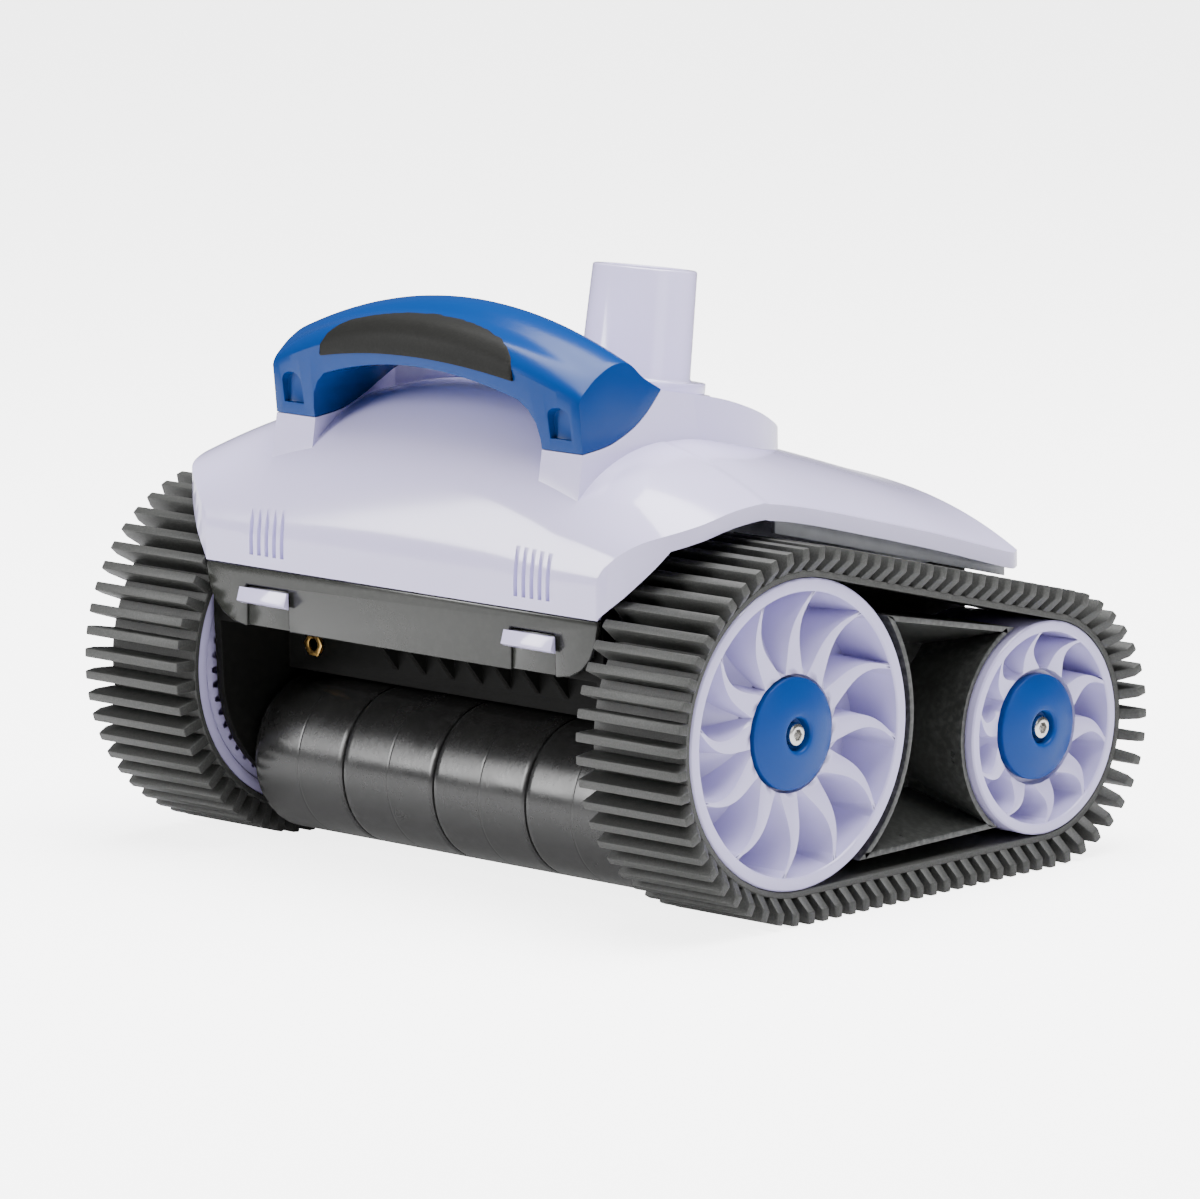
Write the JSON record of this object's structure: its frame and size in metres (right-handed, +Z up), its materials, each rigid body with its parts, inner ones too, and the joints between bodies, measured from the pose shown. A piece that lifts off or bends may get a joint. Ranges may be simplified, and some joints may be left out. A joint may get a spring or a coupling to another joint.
{
  "type": "tracked pool cleaner",
  "caption": "Suction-side pool cleaner with two toothed rubber tracks, a split front roller, an arched carry handle, a domed cover and a swivelling hose spigot.",
  "frame": {"origin": "on the floor, under the middle of the machine's bounding box", "axes": "+X runs across the machine towards its own left side, -Y is the front where the roller and latches are, +Z is up"},
  "size_m": [0.3072, 0.251, 0.218],
  "materials": {
    "white_plastic": "glossy moulded, cool white with a lavender cast",
    "blue_plastic": "satin-gloss moulded",
    "black_plastic": "glossy moulded",
    "grey_plastic": "satin moulded",
    "track_rubber": "matte, slightly dusty",
    "roller_rubber": "glossy smooth",
    "grip_rubber": "satin",
    "acetal": "satin",
    "stainless_steel": "bright",
    "brass": "machined"
  },
  "bodies": {
    "chassis": {"lower_body": "black_plastic", "front_panel": "black_plastic", "top_cover": "white_plastic", "handle_frame": "blue_plastic", "handle_grip": "grip_rubber", "turbine_housing": "grey_plastic", "side_frame_left": "black_plastic", "side_wall_left": "grey_plastic", "track_belt_left": "track_rubber", "front_axle_left": "stainless_steel", "rear_axle_left": "stainless_steel", "wheel_screw_front_left": "stainless_steel", "wheel_screw_rear_left": "stainless_steel", "reduction_axle_left": "stainless_steel", "turbine_bearing_left": "acetal", "roller_bush_left": "acetal", "brass_insert_left": "brass", "side_frame_right": "black_plastic", "side_wall_right": "grey_plastic", "track_belt_right": "track_rubber", "front_axle_right": "stainless_steel", "rear_axle_right": "stainless_steel", "wheel_screw_front_right": "stainless_steel", "wheel_screw_rear_right": "stainless_steel", "reduction_axle_right": "stainless_steel", "turbine_bearing_right": "acetal", "roller_bush_right": "acetal", "brass_insert_right": "brass"},
    "hose_swivel": {"hose_connector": "white_plastic", "swivel_retainer": "acetal"},
    "front_roller": {"roller_core": "black_plastic", "roller_sleeve_1": "roller_rubber", "roller_sleeve_2": "roller_rubber", "roller_sleeve_3": "roller_rubber", "roller_sleeve_4": "roller_rubber"},
    "turbine": {"turbine_rotor": "acetal", "turbine_shaft": "stainless_steel", "drive_pinion_left": "acetal", "drive_pinion_right": "acetal"},
    "front_wheel_left": {"front_wheel_left": "white_plastic", "ring_gear_left": "white_plastic", "front_hub_cap_left": "blue_plastic", "front_bush_left": "acetal"},
    "rear_wheel_left": {"rear_wheel_left": "white_plastic", "rear_hub_cap_left": "blue_plastic", "rear_bush_left": "acetal"},
    "reduction_left": {"reduction_gear_left": "acetal"},
    "cover_latch_left": {"cover_latch_left": "white_plastic"},
    "front_wheel_right": {"front_wheel_right": "white_plastic", "ring_gear_right": "white_plastic", "front_hub_cap_right": "blue_plastic", "front_bush_right": "acetal"},
    "rear_wheel_right": {"rear_wheel_right": "white_plastic", "rear_hub_cap_right": "blue_plastic", "rear_bush_right": "acetal"},
    "reduction_right": {"reduction_gear_right": "acetal"},
    "cover_latch_right": {"cover_latch_right": "white_plastic"}
  },
  "joints": [
    {"name": "front_wheel_spin_left", "type": "hinge", "parent": "chassis", "child": "front_wheel_left", "pos_m": [0, -0.0574, 0.0681], "axis": [1, 0, 0], "continuous": true},
    {"name": "rear_wheel_spin_left", "type": "hinge", "parent": "chassis", "child": "rear_wheel_left", "pos_m": [0, 0.0741, 0.0514], "axis": [1, 0, 0], "continuous": true},
    {"name": "reduction_spin_left", "type": "hinge", "parent": "chassis", "child": "reduction_left", "pos_m": [0, -0.03059, 0.0906], "axis": [1, 0, 0], "continuous": true},
    {"name": "front_wheel_spin_right", "type": "hinge", "parent": "chassis", "child": "front_wheel_right", "pos_m": [0, -0.0574, 0.0681], "axis": [1, 0, 0], "continuous": true},
    {"name": "rear_wheel_spin_right", "type": "hinge", "parent": "chassis", "child": "rear_wheel_right", "pos_m": [0, 0.0741, 0.0514], "axis": [1, 0, 0], "continuous": true},
    {"name": "reduction_spin_right", "type": "hinge", "parent": "chassis", "child": "reduction_right", "pos_m": [0, -0.03059, 0.0906], "axis": [1, 0, 0], "continuous": true},
    {"name": "turbine_spin", "type": "hinge", "parent": "chassis", "child": "turbine", "pos_m": [0, 0.00506, 0.09561], "axis": [1, 0, 0], "continuous": true},
    {"name": "roller_spin", "type": "hinge", "parent": "chassis", "child": "front_roller", "pos_m": [0, -0.0658, 0.0341], "axis": [1, 0, 0], "continuous": true},
    {"name": "hose_swivel_turn", "type": "hinge", "parent": "chassis", "child": "hose_swivel", "pos_m": [0, 0.0136, 0.1743], "axis": [0, 0.153, 0.9882], "continuous": true},
    {"name": "latch_press_left", "type": "hinge", "parent": "chassis", "child": "cover_latch_left", "pos_m": [0, -0.1096, 0.1032], "axis": [1, 0, 0], "range_deg": [0, 5], "stiffness_Nm_per_rad": 0.5, "springref_deg": -1.15},
    {"name": "latch_press_right", "type": "hinge", "parent": "chassis", "child": "cover_latch_right", "pos_m": [0, -0.1096, 0.1032], "axis": [1, 0, 0], "range_deg": [0, 5], "stiffness_Nm_per_rad": 0.5, "springref_deg": -1.15}
  ],
  "couplings": [
    {"joint": "front_wheel_spin_right", "follows": "front_wheel_spin_left", "ratio": 1},
    {"joint": "rear_wheel_spin_left", "follows": "front_wheel_spin_left", "ratio": 1.4063},
    {"joint": "reduction_spin_left", "follows": "front_wheel_spin_left", "ratio": 3.8571},
    {"joint": "rear_wheel_spin_right", "follows": "front_wheel_spin_left", "ratio": 1.4063},
    {"joint": "reduction_spin_right", "follows": "front_wheel_spin_left", "ratio": 3.8571},
    {"joint": "turbine_spin", "follows": "front_wheel_spin_left", "ratio": -10.029}
  ]
}
